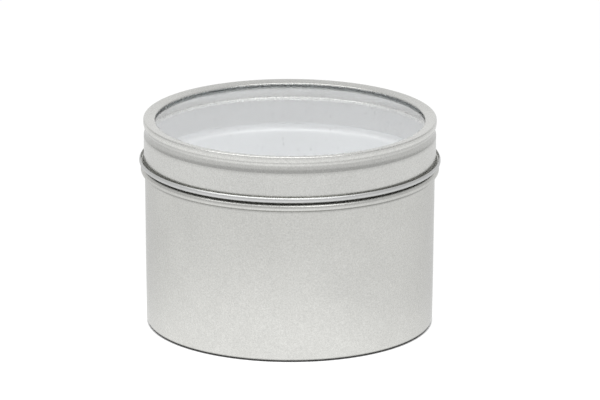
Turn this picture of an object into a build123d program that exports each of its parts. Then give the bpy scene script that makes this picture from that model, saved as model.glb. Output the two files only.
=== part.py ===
"""Window lid tin: a drawn round tin, a slip-on lid rim and the clear disc that the rim holds."""

import math
import os

from build123d import *

os.makedirs("parts", exist_ok=True)

# Sheet and clearances, in millimetres; bend radii are measured to the middle of the sheet
sheet = 0.25
lid_clearance = 0.12
seat_clearance = 0.57
lip_clearance = 0.6
window_clearance = 0.05
window_play = 0.1

# Lid rim
skirt_radius = 37.0
flange_width = 2.8
flange_slope = 9.5
hem_gap = 0.15
hem_width = 1.5
top_corner_radius = 0.23
bulge_depth = 0.12
bulge_length = 0.94
bulge_foot_radius = 0.25
groove_depth = 0.27
groove_length = 2.6
groove_edge_radius = 0.25
curl_radius = 0.6
curl_sweep = 240.0

# Window
window_thickness = 0.6
window_edge_round = 0.1

# Tin body
tin_height = 48.5
neck_height = 8.2
neck_step = 0.12
bead_depth = 1.18
bead_length = 2.7
bead_edge_radius = 0.5
lip_radius = 0.375
lip_sweep = 260.0
wall_draft = 0.5
base_corner_radius = 1.15
ring_width = 2.2
panel_rise = 0.8
panel_step_radius = 0.6


def bump_sweep(depth, length):
    """Angle that each half of a rolled bump turns through."""
    return 2 * math.degrees(math.atan(2 * depth / length))


def bump_crest_radius(depth, length, edge_radius):
    """Radius of the wide arc in the middle of a rolled bump."""
    return length / 2 / math.sin(math.radians(bump_sweep(depth, length))) - edge_radius


def rolled_bump(start, heading, edge_radius, crest_radius, first_sweep, second_sweep):
    """Three tangent arcs that leave the heading to the right and come back in line with it."""
    leave = JernArc(start, heading, edge_radius, -first_sweep)
    crest = JernArc(leave @ 1, leave % 1, crest_radius, first_sweep + second_sweep)
    return JernArc(crest @ 1, crest % 1, edge_radius, -second_sweep)


# Lines down the middle of the sheet: the neck fits inside the skirt, and the wall is a step wider
half_sheet = sheet / 2
skirt_line = skirt_radius - half_sheet
neck_line = skirt_line - sheet - lid_clearance
wall_line = neck_line + neck_step

# The bead comes out from the wall and goes back further, to the neck
bead_height = tin_height - neck_height
bead_crest_radius = bump_crest_radius(bead_depth, bead_length, bead_edge_radius)
bead_bend_reach = bead_crest_radius + bead_edge_radius
bead_upper_sweep = bump_sweep(bead_depth, bead_length)
bead_lower_sweep = math.degrees(math.acos(1 - (bead_depth - neck_step) / bead_bend_reach))
bead_foot = bead_height - bead_bend_reach * math.sin(math.radians(bead_lower_sweep))
bead_centre = neck_line + bead_depth - bead_crest_radius

# The foot of the drafted wall, and the standing ring inside it
corner_sweep = 90.0 - wall_draft
corner_reach = base_corner_radius * math.sin(math.radians(corner_sweep))
corner_rise = base_corner_radius * (1 - math.cos(math.radians(corner_sweep)))
wall_rise = bead_foot - corner_rise - half_sheet
ring_radius = wall_line - wall_rise * math.tan(math.radians(wall_draft)) - corner_reach
step_sweep = math.degrees(math.acos(1 - panel_rise / 2 / panel_step_radius))
step_reach = 2 * panel_step_radius * math.sin(math.radians(step_sweep))
panel_radius = ring_radius - ring_width - step_reach

# The skirt grips the neck with the curl held a little above the bead
curl_centre = skirt_line + curl_radius
seat_reach = bead_crest_radius + curl_radius + sheet + seat_clearance
curl_height = bead_height + math.sqrt(seat_reach**2 - (curl_centre - bead_centre) ** 2)

# The groove clears the lip, and the window lies between the groove and the hem; from the hem the
# flange slopes up to the top corner
groove_top = tin_height + lip_clearance + groove_length
groove_crest_radius = bump_crest_radius(groove_depth, groove_length, groove_edge_radius)
groove_sweep = bump_sweep(groove_depth, groove_length)
slope_across = math.cos(math.radians(flange_slope))
slope_up = math.sin(math.radians(flange_slope))
hem_radius = (sheet + hem_gap) / 2
window_hole_radius = skirt_radius - flange_width
hem_centre = window_hole_radius + half_sheet + hem_radius
hem_height = groove_top + window_thickness + window_play + half_sheet + hem_radius
hem_length = (hem_width - half_sheet - hem_radius) / slope_across
flange_start = hem_centre - hem_radius * slope_up
flange_end = skirt_line + bulge_depth - top_corner_radius * (1 + slope_up)
flange_length = (flange_end - flange_start) / slope_across
top_corner_height = hem_height + flange_length * slope_up + (hem_radius - top_corner_radius) * slope_across
bulge_sweep = math.degrees(math.acos(1 - bulge_depth / 2 / bulge_foot_radius))
bulge_foot_height = top_corner_height - bulge_length

# Tin body
with BuildPart() as tin_body:
    with BuildSketch(Plane.XZ):
        with BuildLine():
            panel = Line((0, panel_rise + half_sheet), (panel_radius, panel_rise + half_sheet))
            step_down = JernArc(panel @ 1, panel % 1, panel_step_radius, -step_sweep)
            step_out = JernArc(step_down @ 1, step_down % 1, panel_step_radius, step_sweep)
            ring = Line(step_out @ 1, (ring_radius, half_sheet))
            corner = JernArc(ring @ 1, ring % 1, base_corner_radius, corner_sweep)
            wall = Line(corner @ 1, (wall_line, bead_foot))
            bead = rolled_bump(
                wall @ 1, (0, 1), bead_edge_radius, bead_crest_radius, bead_lower_sweep, bead_upper_sweep
            )
            neck = Line(bead @ 1, (neck_line, tin_height - half_sheet - lip_radius))
            JernArc(neck @ 1, neck % 1, lip_radius, lip_sweep)
        trace(line_width=sheet)
    revolve(axis=Axis.Z)
tin_body.part.label = "tin_body"
export_step(tin_body.part, "parts/tin_body.step")

# Lid rim
with BuildPart() as lid_rim:
    with BuildSketch(Plane.XZ):
        with BuildLine():
            hem = PolarLine(
                (
                    hem_centre + hem_radius * slope_up + hem_length * slope_across,
                    hem_height - hem_radius * slope_across + hem_length * slope_up,
                ),
                -hem_length,
                flange_slope,
            )
            hem_bend = JernArc(hem @ 1, hem % 1, hem_radius, -180)
            flange = PolarLine(hem_bend @ 1, flange_length, flange_slope)
            top_corner = JernArc(flange @ 1, flange % 1, top_corner_radius, -90 - flange_slope)
            bulge = Line(top_corner @ 1, (skirt_line + bulge_depth, bulge_foot_height))
            bulge_in = JernArc(bulge @ 1, (0, -1), bulge_foot_radius, -bulge_sweep)
            bulge_foot = JernArc(bulge_in @ 1, bulge_in % 1, bulge_foot_radius, bulge_sweep)
            land = Line(bulge_foot @ 1, (skirt_line, groove_top))
            groove = rolled_bump(
                land @ 1, (0, -1), groove_edge_radius, groove_crest_radius, groove_sweep, groove_sweep
            )
            skirt = Line(groove @ 1, (skirt_line, curl_height))
            JernArc(skirt @ 1, skirt % 1, curl_radius, curl_sweep)
        trace(line_width=sheet)
    revolve(axis=Axis.Z)
lid_rim.part.label = "lid_rim"
export_step(lid_rim.part, "parts/lid_rim.step")

# Window, resting on the shoulder of the groove
with BuildPart() as window_disc:
    with BuildSketch(Plane.XY.offset(groove_top)):
        Circle(skirt_radius - sheet - window_clearance)
    extrude(amount=window_thickness)
    fillet(window_disc.edges(), radius=window_edge_round)
window_disc.part.label = "window_disc"
export_step(window_disc.part, "parts/window_disc.step")
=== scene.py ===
import math

import bmesh
import bpy
from mathutils import Matrix, Vector


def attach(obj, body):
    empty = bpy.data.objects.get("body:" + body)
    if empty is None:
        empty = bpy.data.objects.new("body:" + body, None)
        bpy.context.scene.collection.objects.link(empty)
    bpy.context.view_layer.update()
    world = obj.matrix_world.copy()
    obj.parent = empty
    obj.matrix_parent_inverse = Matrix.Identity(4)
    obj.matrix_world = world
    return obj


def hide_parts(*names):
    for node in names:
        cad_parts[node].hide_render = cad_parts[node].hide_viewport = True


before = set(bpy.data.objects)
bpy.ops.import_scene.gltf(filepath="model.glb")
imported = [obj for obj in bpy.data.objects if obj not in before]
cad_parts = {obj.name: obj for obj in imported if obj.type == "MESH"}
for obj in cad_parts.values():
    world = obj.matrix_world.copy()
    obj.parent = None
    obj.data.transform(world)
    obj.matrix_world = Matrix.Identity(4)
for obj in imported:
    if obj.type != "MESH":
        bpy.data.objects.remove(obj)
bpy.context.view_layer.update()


# Tin
# Drawn from one disc of tinplate. The lip is curled in at the mouth, a bead is rolled outwards below
# the neck, and the base is pressed up inside the ring that the tin stands on. The outside is bare satin
# tinplate, rubbed smooth by the rollers in places, and the inside has a thin clear lacquer. Bands at set
# heights are also painted lighter or darker: a painted highlight on the lip, painted shade at the bead's
# foot, the lower inside painted lighter than the neck under the lip, and a painted highlight in the inner
# bead.

# Along the middle of the sheet, from the middle of the base to the lip; a bend is radius and degrees
sheet_thickness = 0.00025
base_panel_height = 0.000926
base_panel_radius = 0.031815
base_step_bend = (0.0006, 70.53)
base_ring_width = 0.0022
base_corner_bend = (0.00115, 89.5)
wall_height = 0.037708
wall_end_height = 0.000001
bead_lower_bend = (0.0005, 77.18)
bead_crest_bend = (0.00086225, 159.49)
bead_upper_bend = (0.0005, 82.31)
neck_height = 0.006349
lip_bend = (0.000375, 260.0)

points_round = 256
crease_angle = 50.0

# Grains to the metre, and the part of the noise's range that the grain uses
colour_grains = 2600
cloud_grains = 70
gloss_grains = 900
ripple_grains = 1800
noise_roughness = 0.55
noise_low = 0.3
noise_high = 0.7
cloud_low = 0.97
cloud_high = 1.03

# A band of painted light and shade starts at one height, is full from the next to the third and ends at the
# last;
# its level is how much lighter or darker it paints the sheet, and inside it the grain's ripple is smoothed
band_ripple_share = 0.15
# Painted highlight on the curled lip, and painted shade at the foot of the bead
lip_highlight_band = (0.0468, 0.0474, 0.0486, 0.06, 1.3)
bead_foot_shade_band = (0.0387, 0.0391, 0.0397, 0.04, 0.72)
# Inside: the base and wall painted lighter than the neck, which leaves painted shade under the lip, and a
# painted highlight in the inner bead's groove
lower_inside_light_band = (-0.002, -0.001, 0.0385, 0.0395, 1.75)
inner_bead_highlight_band = (0.0385, 0.0395, 0.0405, 0.0412, 1.9)


def begin_strip(radius, height, heading):
    """The middle line of a strip of sheet seen in section; a heading of 0 degrees is outwards, 90 is up."""
    return [(radius, height, math.radians(heading))]


def run_straight(strip, length, parts=1):
    """Carries the strip straight on."""
    radius, height, heading = strip[-1]
    for part in range(1, parts + 1):
        along = length * part / parts
        strip.append((radius + along * math.cos(heading), height + along * math.sin(heading), heading))


def bend_sheet(strip, bend, to_left=True, step=8.0):
    """Carries the strip round a bend, in parts of no more than the step in degrees, but at least three."""
    bend_radius, angle = bend
    side = 1 if to_left else -1
    radius, height, heading = strip[-1]
    centre_radius = radius - side * bend_radius * math.sin(heading)
    centre_height = height + side * bend_radius * math.cos(heading)
    parts = max(3, math.ceil(angle / step))
    for part in range(1, parts + 1):
        turned = heading + side * math.radians(angle) * part / parts
        strip.append((
            centre_radius + side * bend_radius * math.sin(turned),
            centre_height - side * bend_radius * math.cos(turned),
            turned,
        ))


def spin_section(name, section, finishes):
    """Turns a section, a loop of points with the number of a finish each, about the axis into a piece."""
    mesh = bmesh.new()
    rings = []
    for radius, height, _ in section:
        turns = [2 * math.pi * n / points_round for n in range(points_round if radius > 0 else 1)]
        rings.append([mesh.verts.new((radius * math.cos(t), radius * math.sin(t), height)) for t in turns])
    for here, (_, _, finish) in enumerate(section):
        first, second = rings[here], rings[(here + 1) % len(rings)]
        if len(first) == len(second) == 1:
            continue
        for n in range(points_round):
            after = n + 1
            corners = [
                first[n % len(first)],
                first[after % len(first)],
                second[after % len(second)],
                second[n % len(second)],
            ]
            face = mesh.faces.new(list(dict.fromkeys(corners)))
            face.smooth = True
            face.material_index = finish
    bmesh.ops.recalc_face_normals(mesh, faces=mesh.faces)
    data = bpy.data.meshes.new(name)
    mesh.to_mesh(data)
    mesh.free()
    data.set_sharp_from_angle(angle=math.radians(crease_angle))
    for finish in finishes:
        data.materials.append(finish)
    piece = bpy.data.objects.new(name, data)
    bpy.context.scene.collection.objects.link(piece)
    return piece


def spin_sheet(name, strip, left_finish, right_finish):
    """Gives the strip its thickness and turns it about the axis, with a finish on each face."""
    half = sheet_thickness / 2
    left = [(r - half * math.sin(a), z + half * math.cos(a), 0) for r, z, a in strip]
    right = [(r + half * math.sin(a), z - half * math.cos(a), 1) for r, z, a in strip]
    return spin_section(name, left + right[::-1], [left_finish, right_finish])


def new_finish(name):
    """A new finish with its nodes, the function that links them, and its surface shader."""
    finish = bpy.data.materials.new(name)
    finish.use_nodes = True
    nodes, links = finish.node_tree.nodes, finish.node_tree.links
    return finish, nodes, links.new, nodes["Principled BSDF"]


def spread(nodes, link, value, begin, end, low, high, curve="LINEAR"):
    """The value carried from the range begin to end into the range low to high."""
    span = nodes.new("ShaderNodeMapRange")
    span.interpolation_type = curve
    span.inputs["From Min"].default_value = begin
    span.inputs["From Max"].default_value = end
    span.inputs["To Min"].default_value = low
    span.inputs["To Max"].default_value = high
    link(value, span.inputs["Value"])
    return span.outputs["Result"]


def mottle(nodes, link, place, grains, low, high, detail=3):
    """Cloudy variation between two values."""
    cloud = nodes.new("ShaderNodeTexNoise")
    cloud.inputs["Scale"].default_value = grains
    cloud.inputs["Detail"].default_value = detail
    cloud.inputs["Roughness"].default_value = noise_roughness
    link(place, cloud.inputs["Vector"])
    return spread(nodes, link, cloud.outputs["Fac"], noise_low, noise_high, low, high)


def combine(nodes, link, operation, first, second):
    """The product of two values, or the larger of them."""
    result = nodes.new("ShaderNodeMath")
    result.operation = operation
    link(first, result.inputs[0])
    link(second, result.inputs[1])
    return result.outputs["Value"]


def painted_band_share(nodes, link, place, foot, low, high, top):
    """Share of a band of painted light and shade: one from low to high, fading to nothing at foot and top.
    """
    parts = nodes.new("ShaderNodeSeparateXYZ")
    link(place, parts.inputs[0])
    rise = spread(nodes, link, parts.outputs["Z"], foot, low, 0.0, 1.0, "SMOOTHSTEP")
    fall = spread(nodes, link, parts.outputs["Z"], high, top, 1.0, 0.0, "SMOOTHSTEP")
    return combine(nodes, link, "MULTIPLY", rise, fall)


def tinplate_finish(name, colour, edge_tint, metal_share, grain_depth, roughness, ripple, painted_light_bands=()):
    """Satin tinplate: a fine grain in colour, roughness and height, broad soft clouds, and bands of painted
    light and shade with the ripple smoothed.
    """
    finish, nodes, link, surface = new_finish(name)
    place = nodes.new("ShaderNodeTexCoord").outputs["Object"]
    grain = mottle(nodes, link, place, colour_grains, 1 - grain_depth, 1 + grain_depth)
    clouds = mottle(nodes, link, place, cloud_grains, cloud_low, cloud_high)
    shade = combine(nodes, link, "MULTIPLY", grain, clouds)
    height = mottle(nodes, link, place, ripple_grains, 0.0, ripple)
    # Each band paints the colour lighter or darker by its level, and smooths the ripple
    for foot, low, high, top, level in painted_light_bands:
        painted_share = painted_band_share(nodes, link, place, foot, low, high, top)
        shade_change = spread(nodes, link, painted_share, 0.0, 1.0, 1.0, level)
        height_change = spread(nodes, link, painted_share, 0.0, 1.0, 1.0, band_ripple_share)
        shade = combine(nodes, link, "MULTIPLY", shade, shade_change)
        height = combine(nodes, link, "MULTIPLY", height, height_change)
    tint = nodes.new("ShaderNodeVectorMath")
    tint.operation = "SCALE"
    tint.inputs[0].default_value = colour
    link(shade, tint.inputs["Scale"])
    link(tint.outputs["Vector"], surface.inputs["Base Color"])
    link(mottle(nodes, link, place, gloss_grains, *roughness, detail=4), surface.inputs["Roughness"])
    surface.inputs["Metallic"].default_value = metal_share
    surface.inputs["Specular Tint"].default_value = edge_tint
    bump = nodes.new("ShaderNodeBump")
    bump.inputs["Strength"].default_value = 1.0
    bump.inputs["Distance"].default_value = 1.0
    link(height, bump.inputs["Height"])
    link(bump.outputs["Normal"], surface.inputs["Normal"])
    return finish


outside_finish = tinplate_finish(
    "satin_tinplate",
    colour=(0.572, 0.572, 0.55),
    edge_tint=(0.8, 0.8, 0.8, 1),
    metal_share=1.0,
    grain_depth=0.1,
    roughness=(0.22, 0.32),
    ripple=0.0000018,
    painted_light_bands=[lip_highlight_band, bead_foot_shade_band],
)
inside_finish = tinplate_finish(
    "lacquered_tinplate",
    colour=(0.5, 0.508, 0.516),
    edge_tint=(1, 1, 1, 1),
    metal_share=0.4,
    grain_depth=0.02,
    roughness=(0.27, 0.36),
    ripple=0.0000004,
    painted_light_bands=[lower_inside_light_band, inner_bead_highlight_band],
)

strip = begin_strip(0.0, base_panel_height, 0)
run_straight(strip, base_panel_radius, parts=8)
bend_sheet(strip, base_step_bend, to_left=False)
bend_sheet(strip, base_step_bend)
run_straight(strip, base_ring_width, parts=3)
bend_sheet(strip, base_corner_bend)
run_straight(strip, wall_height, parts=16)

# The wall leans out by half a degree, and turns upright before the bead
wall_radius, wall_top, _ = strip[-1]
strip += begin_strip(wall_radius, wall_top + wall_end_height, 90)
bend_sheet(strip, bead_lower_bend, to_left=False)
bend_sheet(strip, bead_crest_bend)
bend_sheet(strip, bead_upper_bend, to_left=False)
run_straight(strip, neck_height, parts=4)
bend_sheet(strip, lip_bend)

tin = spin_sheet("tin", strip, inside_finish, outside_finish)
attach(tin, "tin")
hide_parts("tin_body")


# Lid rim
# A ring of the same tinplate, pressed from a cap with its middle cut out. The hole's edge is folded
# back under the flange, which slopes up outwards. A shallow groove rolled into the skirt holds the
# window up, and the skirt's lower edge is curled outwards into a grip, just above the tin's bead.

# Along the middle of the sheet, from the end of the fold to the end of the curl
rim_slope = 9.5
rim_fold_height = 0.0528258
rim_fold_end = 0.035733
rim_fold_width = 0.0012507
rim_fold_bend = (0.00015, 180.0)
rim_flange_width = 0.0023085
rim_corner_bend = (0.00023, 99.5)
rim_bulge_height = 0.00094
rim_bulge_foot_bend = (0.00025, 40.536)
rim_groove_top = 0.0517
rim_groove_edge_bend = (0.00025, 23.466)
rim_groove_bend = (0.00301463, 46.932)
rim_skirt_foot = 0.042487
rim_curl_bend = (0.000597, 240.0)

# Rim outside: painted shade in the groove and just above it, and a painted highlight on the bulge's face
groove_shade_band = (0.0482, 0.0494, 0.0508, 0.0514, 0.79)
above_groove_shade_band = (0.0512, 0.0515, 0.0518, 0.0521, 0.87)
bulge_highlight_band = (0.0519, 0.0522, 0.0525, 0.0528, 1.12)

rim_outside_finish = tinplate_finish(
    "rim_tinplate",
    colour=(0.6, 0.601, 0.582),
    edge_tint=(0.87, 0.87, 0.87, 1),
    metal_share=1.0,
    grain_depth=0.1,
    roughness=(0.22, 0.32),
    ripple=0.0000018,
    painted_light_bands=[groove_shade_band, above_groove_shade_band, bulge_highlight_band],
)
rim_inside_finish = tinplate_finish(
    "rim_back",
    colour=(0.56, 0.565, 0.56),
    edge_tint=(0.8, 0.8, 0.8, 1),
    metal_share=0.8,
    grain_depth=0.03,
    roughness=(0.3, 0.4),
    ripple=0.000001,
)

strip = begin_strip(rim_fold_end, rim_fold_height, 180 + rim_slope)
run_straight(strip, rim_fold_width, parts=3)
bend_sheet(strip, rim_fold_bend, to_left=False, step=15)
run_straight(strip, rim_flange_width, parts=4)
bend_sheet(strip, rim_corner_bend, to_left=False)
run_straight(strip, rim_bulge_height, parts=2)
bend_sheet(strip, rim_bulge_foot_bend, to_left=False)
bend_sheet(strip, rim_bulge_foot_bend)
_, foot_height, _ = strip[-1]
run_straight(strip, foot_height - rim_groove_top, parts=2)
bend_sheet(strip, rim_groove_edge_bend, to_left=False, step=6)
bend_sheet(strip, rim_groove_bend, step=4)
bend_sheet(strip, rim_groove_edge_bend, to_left=False, step=6)
_, skirt_height, _ = strip[-1]
run_straight(strip, skirt_height - rim_skirt_foot, parts=5)
bend_sheet(strip, rim_curl_bend)

rim = spin_sheet("rim", strip, rim_outside_finish, rim_inside_finish)
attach(rim, "lid")
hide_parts("lid_rim")


# Window
# A disc cut from clear hard plastic sheet, 0.6 mm thick, with its edge just broken. It is pushed up
# from inside the lid until it snaps over the groove, which holds it under the fold.

window_radius = 0.0367
window_base = 0.0517
window_thickness = 0.0006
window_edge_round = 0.0001
window_parts = 8
window_grains = 120
window_haze = (0.012, 0.04)

clear_finish, nodes, link, surface = new_finish("clear_sheet")
surface.inputs["Base Color"].default_value = (0.97, 0.975, 0.975, 1)
surface.inputs["Transmission Weight"].default_value = 1.0
surface.inputs["IOR"].default_value = 1.49
place = nodes.new("ShaderNodeTexCoord").outputs["Object"]
link(mottle(nodes, link, place, window_grains, *window_haze), surface.inputs["Roughness"])

# Light falls through the sheet into the tin
see_through = nodes.new("ShaderNodeBsdfTransparent")
see_through.inputs["Color"].default_value = (0.86, 0.87, 0.87, 1)
ray = nodes.new("ShaderNodeLightPath")
either = nodes.new("ShaderNodeMixShader")
link(ray.outputs["Is Shadow Ray"], either.inputs["Fac"])
link(surface.outputs["BSDF"], either.inputs[1])
link(see_through.outputs["BSDF"], either.inputs[2])
link(either.outputs["Shader"], nodes["Material Output"].inputs["Surface"])

flat_radius = window_radius - window_edge_round
window_top = window_base + window_thickness
section = [(flat_radius * part / window_parts, window_base, 0) for part in range(window_parts + 1)]
for part in range(1, window_parts + 1):
    turn = math.radians(90 * part / window_parts)
    section.append((
        flat_radius + window_edge_round * math.sin(turn),
        window_base + window_edge_round * (1 - math.cos(turn)),
        0,
    ))
section += [(r, window_top - (z - window_base), finish) for r, z, finish in section[::-1]]

window = spin_section("window", section, [clear_finish])
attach(window, "lid")
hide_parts("window_disc")


# Floor
# A plain white sweep of matt paper, larger than any view of the tin. It glows, which keeps it white in the
# picture and in what the metal mirrors, and the glow is brightest under the tin: a painted pool of light
# that the metal mirrors and that lights nothing. Where the tin stands on the paper the glow is darkened,
# a painted contact shadow that leaves the dark line there.

floor_size = 6.0
paper_share = 0.2
glow_far = 1.02
painted_pool_peak = 1.42
painted_pool_reach = 0.12
painted_pool_centre = (-0.01, -0.04, 0.0)
contact_reach = 0.001
contact_samples = 8
contact_black = 0.2
contact_clear = 0.75

paper, nodes, link, surface = new_finish("white_paper")
surface.inputs["Base Color"].default_value = (0.9, 0.9, 0.9, 1)
surface.inputs["Roughness"].default_value = 0.9
surface.inputs["Specular IOR Level"].default_value = 0.0
place = nodes.new("ShaderNodeTexCoord").outputs["Object"]
distance = nodes.new("ShaderNodeVectorMath")
distance.operation = "DISTANCE"
distance.inputs[1].default_value = painted_pool_centre
link(place, distance.inputs[0])
away = distance.outputs["Value"]
glow_with_painted_pool = spread(nodes, link, away, 0.0, painted_pool_reach, painted_pool_peak, glow_far, "SMOOTHERSTEP")
# Painted contact shadow: ambient occlusion darkens the glow where the tin meets the paper
contact = nodes.new("ShaderNodeAmbientOcclusion")
contact.inputs["Distance"].default_value = contact_reach
contact.samples = contact_samples
open_share = contact.outputs["AO"]
shadow = spread(nodes, link, open_share, contact_black, contact_clear, 0.0, 1.0, "SMOOTHSTEP")
glow = nodes.new("ShaderNodeEmission")
link(combine(nodes, link, "MULTIPLY", glow_with_painted_pool, shadow), glow.inputs["Strength"])

# The glow is seen in the picture, in the metal and through the window, and lights nothing
ray = nodes.new("ShaderNodeLightPath")
seen = combine(nodes, link, "MAXIMUM", ray.outputs["Is Camera Ray"], ray.outputs["Is Glossy Ray"])
seen = combine(nodes, link, "MAXIMUM", seen, ray.outputs["Is Transmission Ray"])
glow_share = nodes.new("ShaderNodeMath")
glow_share.operation = "MULTIPLY"
glow_share.inputs[1].default_value = 1 - paper_share
link(seen, glow_share.inputs[0])
lit = nodes.new("ShaderNodeMixShader")
link(glow_share.outputs["Value"], lit.inputs["Fac"])
link(surface.outputs["BSDF"], lit.inputs[1])
link(glow.outputs["Emission"], lit.inputs[2])
link(lit.outputs["Shader"], nodes["Material Output"].inputs["Surface"])

data = bpy.data.meshes.new("floor")
half = floor_size / 2
corners = [(-half, -half, 0), (half, -half, 0), (half, half, 0), (-half, half, 0)]
data.from_pydata(corners, [], [(0, 1, 2, 3)])
data.materials.append(paper)
floor = bpy.data.objects.new("floor", data)
bpy.context.scene.collection.objects.link(floor)


# Light
# A pale studio all round, brightest low down behind the tin, and one broad soft lamp overhead, a
# little to the front and to the left.

studio_level = 0.72
studio_bright_level = 1.15
studio_bright_side = Vector((0.0, 0.99, -0.1))
studio_bright_from = 0.6
lamp_width = 2.2
lamp_depth = 0.9
lamp_watts = 14.0
lamp_place = Vector((-0.15, -0.35, 1.4))

world = bpy.data.worlds.new("studio")
bpy.context.scene.world = world
world.use_nodes = True
nodes, link = world.node_tree.nodes, world.node_tree.links.new
facing = nodes.new("ShaderNodeVectorMath")
facing.operation = "DOT_PRODUCT"
facing.inputs[1].default_value = studio_bright_side.normalized()
link(nodes.new("ShaderNodeTexCoord").outputs["Generated"], facing.inputs[0])
behind = facing.outputs["Value"]
level = spread(
    nodes, link, behind, studio_bright_from, 1.0, studio_level, studio_bright_level, "SMOOTHSTEP"
)
nodes["Background"].inputs["Color"].default_value = (1, 1, 1, 1)
link(level, nodes["Background"].inputs["Strength"])

lamp_data = bpy.data.lights.new("lamp", "AREA")
lamp_data.shape = "RECTANGLE"
lamp_data.size = lamp_width
lamp_data.size_y = lamp_depth
lamp_data.energy = lamp_watts
lamp = bpy.data.objects.new("lamp", lamp_data)
lamp.location = lamp_place
lamp.rotation_euler = (-lamp_place).to_track_quat("-Z", "Y").to_euler()
lamp.visible_camera = False
bpy.context.scene.collection.objects.link(lamp)


# Camera
# A long lens, 1.5 m from the tin and about 16 degrees above it. The picture is shown as it is
# rendered, with enough bounces for light inside the tin and through the window.

camera_place = Vector((0, -1.43773, 0.45369))
camera_aim = Vector((0.00259, 0.00152, 0.03112))
camera_roll = 0.003
camera_lens = 354.03
camera_sensor = 36.0
camera_near = 0.1
camera_far = 20.0
glossy_bounces = 12
diffuse_bounces = 6
all_bounces = 24

camera_data = bpy.data.cameras.new("camera")
camera_data.lens = camera_lens
camera_data.sensor_width = camera_sensor
camera_data.clip_start = camera_near
camera_data.clip_end = camera_far
camera = bpy.data.objects.new("camera", camera_data)
towards = (camera_aim - camera_place).to_track_quat("-Z", "Y").to_matrix()
turned = towards @ Matrix.Rotation(camera_roll, 3, "Z")
camera.matrix_world = Matrix.Translation(camera_place) @ turned.to_4x4()
bpy.context.scene.collection.objects.link(camera)
bpy.context.scene.camera = camera

bpy.context.scene.view_settings.view_transform = "Standard"
bpy.context.scene.cycles.glossy_bounces = glossy_bounces
bpy.context.scene.cycles.diffuse_bounces = diffuse_bounces
bpy.context.scene.cycles.max_bounces = all_bounces
